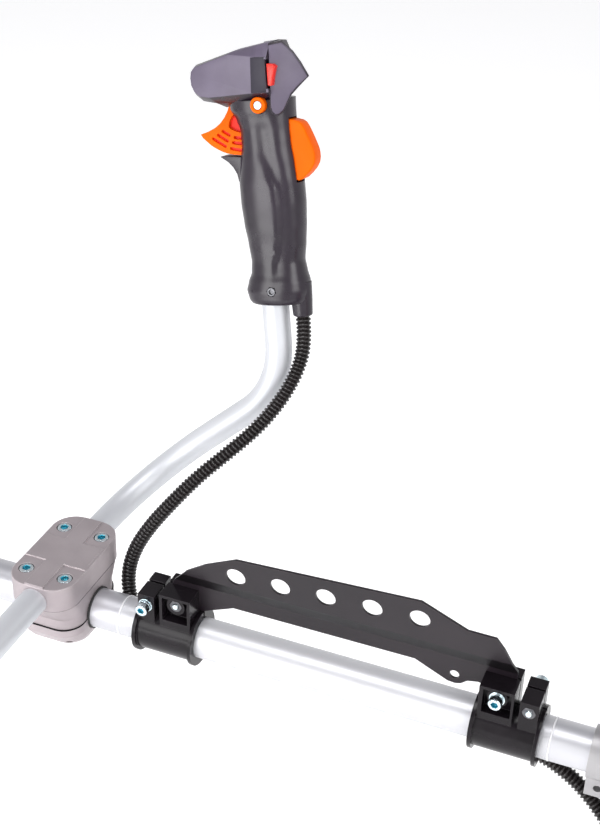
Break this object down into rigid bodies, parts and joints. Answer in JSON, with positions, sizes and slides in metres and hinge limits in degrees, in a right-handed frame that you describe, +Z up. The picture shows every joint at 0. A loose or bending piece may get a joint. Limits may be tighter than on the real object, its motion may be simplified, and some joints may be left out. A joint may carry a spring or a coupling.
{
  "type": "string trimmer",
  "caption": "Petrol string trimmer with a straight shaft, bicycle handlebar with throttle grip, harness plate, rear engine and spinning line head under a guard.",
  "frame": {"origin": "bottom centre of the bounding box, on the surface that the machine lies on", "axes": "+X along the shaft from the cutting head to the engine, +Y to the throttle-grip side, +Z up"},
  "size_m": [1.6358, 0.5302, 0.4994],
  "materials": {
    "satin_aluminium": "satin anodised",
    "cast_aluminium": "raw die casting, fine grain",
    "zinc_steel": "blue zinc plated",
    "dark_steel": "machined",
    "painted_steel": "satin black powder coat",
    "muffler_steel": "heat stained",
    "black_plastic": "satin moulded",
    "rubber": "soft",
    "conduit_plastic": "corrugated satin",
    "orange_plastic": "satin moulded",
    "red_plastic": "gloss",
    "white_plastic": "milky",
    "foam": "open cell",
    "nylon_line": "drawn nylon",
    "primer_rubber": "clear rubber"
  },
  "bodies": {
    "machine": {"air_filter_cover": "black_plastic", "air_filter_foam": "foam", "ball_bearings": "dark_steel", "carburettor": "cast_aluminium", "clamp_bottom_cap": "cast_aluminium", "clamp_middle_block": "cast_aluminium", "clamp_rubber_ring": "rubber", "clamp_screws": "zinc_steel", "clamp_top_cap": "cast_aluminium", "clutch_housing": "cast_aluminium", "connecting_rod": "dark_steel", "crankcase": "cast_aluminium", "cylinder": "cast_aluminium", "engine_cover": "orange_plastic", "fan_housing": "black_plastic", "fuel_tank": "white_plastic", "gear_head": "cast_aluminium", "grip_screws": "zinc_steel", "grip_shell_far": "black_plastic", "grip_shell_near": "black_plastic", "guard": "black_plastic", "handlebar_tube": "satin_aluminium", "hanger_bracket_front": "black_plastic", "hanger_bracket_rear": "black_plastic", "hanger_nuts_and_washers": "zinc_steel", "hanger_screws": "zinc_steel", "hanging_plate": "painted_steel", "housing_screws": "zinc_steel", "ignition_module": "rubber", "left_hand_grip": "rubber", "line_cutter": "dark_steel", "muffler": "muffler_steel", "muffler_guard": "painted_steel", "piston": "cast_aluminium", "shaft_bushes": "black_plastic", "shaft_tube": "satin_aluminium", "spark_plug": "white_plastic", "starter_housing": "black_plastic", "throttle_conduit": "conduit_plastic"},
    "drive": {"drive_shaft": "dark_steel", "clutch_drum": "dark_steel", "drive_pinion": "dark_steel"},
    "crank": {"crankshaft": "dark_steel", "flywheel_fan": "cast_aluminium", "clutch_rotor": "dark_steel"},
    "head": {"driven_gear": "dark_steel", "head_housing": "black_plastic", "line_spool": "orange_plastic", "trimmer_line": "nylon_line"},
    "bump": {"bump_knob": "orange_plastic"},
    "trigger": {"throttle_trigger": "orange_plastic"},
    "lockout": {"lockout_lever": "orange_plastic"},
    "switch": {"stop_switch": "red_plastic"},
    "lock_button": {"throttle_lock_button": "orange_plastic"},
    "carb_arm": {"throttle_arm": "dark_steel"},
    "choke": {"choke_lever": "black_plastic"},
    "primer": {"primer_bulb": "primer_rubber"},
    "starter_grip": {"starter_handle": "black_plastic"},
    "pulley": {"starter_pulley": "black_plastic"},
    "tank_cap": {"fuel_cap": "black_plastic"}
  },
  "joints": [
    {"name": "crank_spin", "type": "hinge", "parent": "machine", "child": "crank", "pos_m": [0.688, 0.068, 0.135], "axis": [1, 0, 0], "continuous": true},
    {"name": "drive_spin", "type": "hinge", "parent": "machine", "child": "drive", "pos_m": [0.618, 0.068, 0.135], "axis": [1, 0, 0], "continuous": true},
    {"name": "head_spin", "type": "hinge", "parent": "machine", "child": "head", "pos_m": [-0.737, 0.068, 0.135], "axis": [-0.342, 0, -0.9397], "continuous": true},
    {"name": "bump_press", "type": "slide", "parent": "head", "child": "bump", "axis": [0.342, 0, 0.9397], "range_m": [0, 0.004], "stiffness_N_per_m": 900},
    {"name": "trigger_squeeze", "type": "hinge", "parent": "machine", "child": "trigger", "pos_m": [0.24781, 0.23995, 0.46132], "axis": [-0.0374, -0.9796, 0.1974], "range_deg": [0, 14], "stiffness_Nm_per_rad": 0.4},
    {"name": "lockout_press", "type": "hinge", "parent": "machine", "child": "lockout", "pos_m": [0.28043, 0.23432, 0.43958], "axis": [0.0374, 0.9796, -0.1974], "range_deg": [0, 7], "stiffness_Nm_per_rad": 0.4},
    {"name": "switch_rock", "type": "hinge", "parent": "machine", "child": "switch", "pos_m": [0.273, 0.22516, 0.47883], "axis": [0.9826, 0, 0.186], "range_deg": [-6, 6]},
    {"name": "lock_button_press", "type": "slide", "parent": "machine", "child": "lock_button", "axis": [0.0374, 0.9796, -0.1974], "range_m": [0, 0.002], "stiffness_N_per_m": 600},
    {"name": "carb_arm_turn", "type": "hinge", "parent": "machine", "child": "carb_arm", "pos_m": [0.715, 0.009, 0.225], "axis": [0, 0, 1], "range_deg": [0, 42.5]},
    {"name": "choke_turn", "type": "hinge", "parent": "machine", "child": "choke", "pos_m": [0.702, 0.002, 0.196], "axis": [1, 0, 0], "range_deg": [0, 60]},
    {"name": "primer_press", "type": "slide", "parent": "machine", "child": "primer", "axis": [-1, 0, 0], "range_m": [0, 0.003], "stiffness_N_per_m": 500},
    {"name": "starter_pull", "type": "slide", "parent": "machine", "child": "starter_grip", "axis": [0, 0, 1], "range_m": [0, 0.025], "stiffness_N_per_m": 200},
    {"name": "pulley_turn", "type": "hinge", "parent": "machine", "child": "pulley", "pos_m": [0.78, 0.068, 0.135], "axis": [1, 0, 0], "range_deg": [0, 50]},
    {"name": "fuel_cap_turn", "type": "hinge", "parent": "machine", "child": "tank_cap", "pos_m": [0.788, -0.032, 0.039], "axis": [0, -1, 0], "range_deg": [0, 120]}
  ],
  "couplings": [
    {"joint": "head_spin", "follows": "drive_spin", "ratio": 0.73684},
    {"joint": "carb_arm_turn", "follows": "trigger_squeeze", "ratio": 3},
    {"joint": "pulley_turn", "follows": "starter_pull", "rad_per_m": 33.3}
  ]
}
